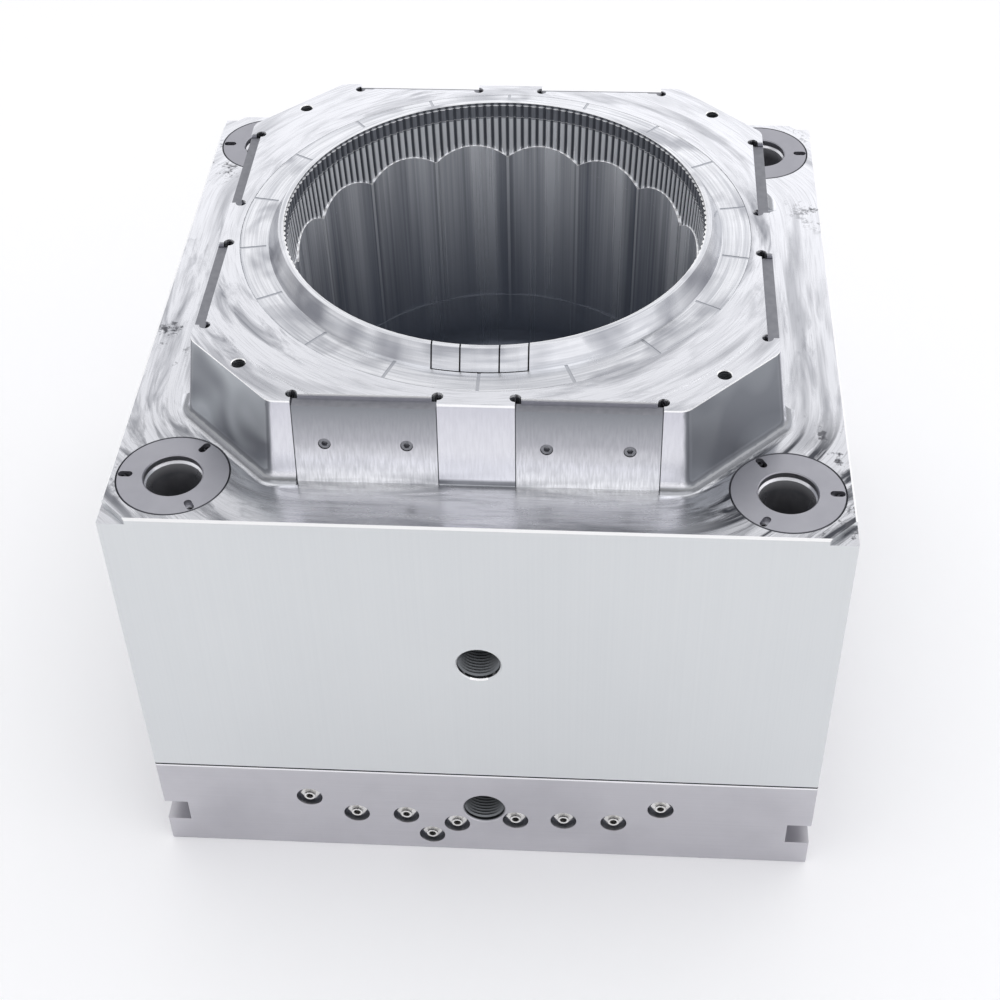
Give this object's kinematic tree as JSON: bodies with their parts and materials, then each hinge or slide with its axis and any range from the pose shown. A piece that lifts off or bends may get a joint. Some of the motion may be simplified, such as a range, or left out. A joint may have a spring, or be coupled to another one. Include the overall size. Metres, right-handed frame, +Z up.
{
  "type": "dustbin mould",
  "caption": "Cavity half of an injection mould for a round bin: fluted and lobed cavity in a square steel block with an octagonal register, corner guide bushes and a clamp plate.",
  "frame": {"origin": "centre of the underside of the clamp plate", "axes": "+Z up, out of the cavity's mouth; -Y towards the side with the water fittings; +X to the right of it"},
  "size_m": [0.65, 0.65, 0.558],
  "materials": {
    "block_steel": "ground tool steel, faint swirls and oil smears on the tops",
    "plate_steel": "milled carbon steel, lightly oiled",
    "cavity_steel": "stone-polished tool steel, near mirror",
    "wear_steel": "hardened steel, ground upwards",
    "bush_steel": "hardened steel, honed bore",
    "keeper_steel": "turned and faced steel",
    "screw_steel": "black oxide on alloy steel",
    "fitting_metal": "nickel-plated brass",
    "blade_brass": "sawn sheet",
    "seal_rubber": "moulded nitrile rubber",
    "nozzle_steel": "turned hot-work steel",
    "heater_sheath": "rolled stainless sheath"
  },
  "bodies": {
    "root": {"cavity_block": "block_steel", "clamp_plate": "plate_steel", "cavity_sleeve": "cavity_steel", "bottom_insert": "cavity_steel", "rim_ring": "cavity_steel", "rim_insert_left": "cavity_steel", "rim_insert_centre": "cavity_steel", "rim_insert_right": "cavity_steel", "wear_plate_front_a": "wear_steel", "wear_plate_front_b": "wear_steel", "wear_plate_right_a": "wear_steel", "wear_plate_right_b": "wear_steel", "wear_plate_rear_a": "wear_steel", "wear_plate_rear_b": "wear_steel", "wear_plate_left_a": "wear_steel", "wear_plate_left_b": "wear_steel", "wear_plate_screws": "screw_steel", "guide_bush_front_left": "bush_steel", "bush_keeper_front_left": "keeper_steel", "guide_bush_front_right": "bush_steel", "bush_keeper_front_right": "keeper_steel", "guide_bush_rear_left": "bush_steel", "bush_keeper_rear_left": "keeper_steel", "guide_bush_rear_right": "bush_steel", "bush_keeper_rear_right": "keeper_steel", "keeper_screws": "screw_steel", "clamp_plate_screws": "screw_steel", "insert_screws": "screw_steel", "dowel_pins": "bush_steel", "water_fittings": "fitting_metal", "baffle_blades": "blade_brass", "bore_seals": "seal_rubber", "insert_seals": "seal_rubber", "hot_nozzle": "nozzle_steel", "nozzle_heater": "heater_sheath", "nozzle_screws": "screw_steel"}
  },
  "joints": []
}
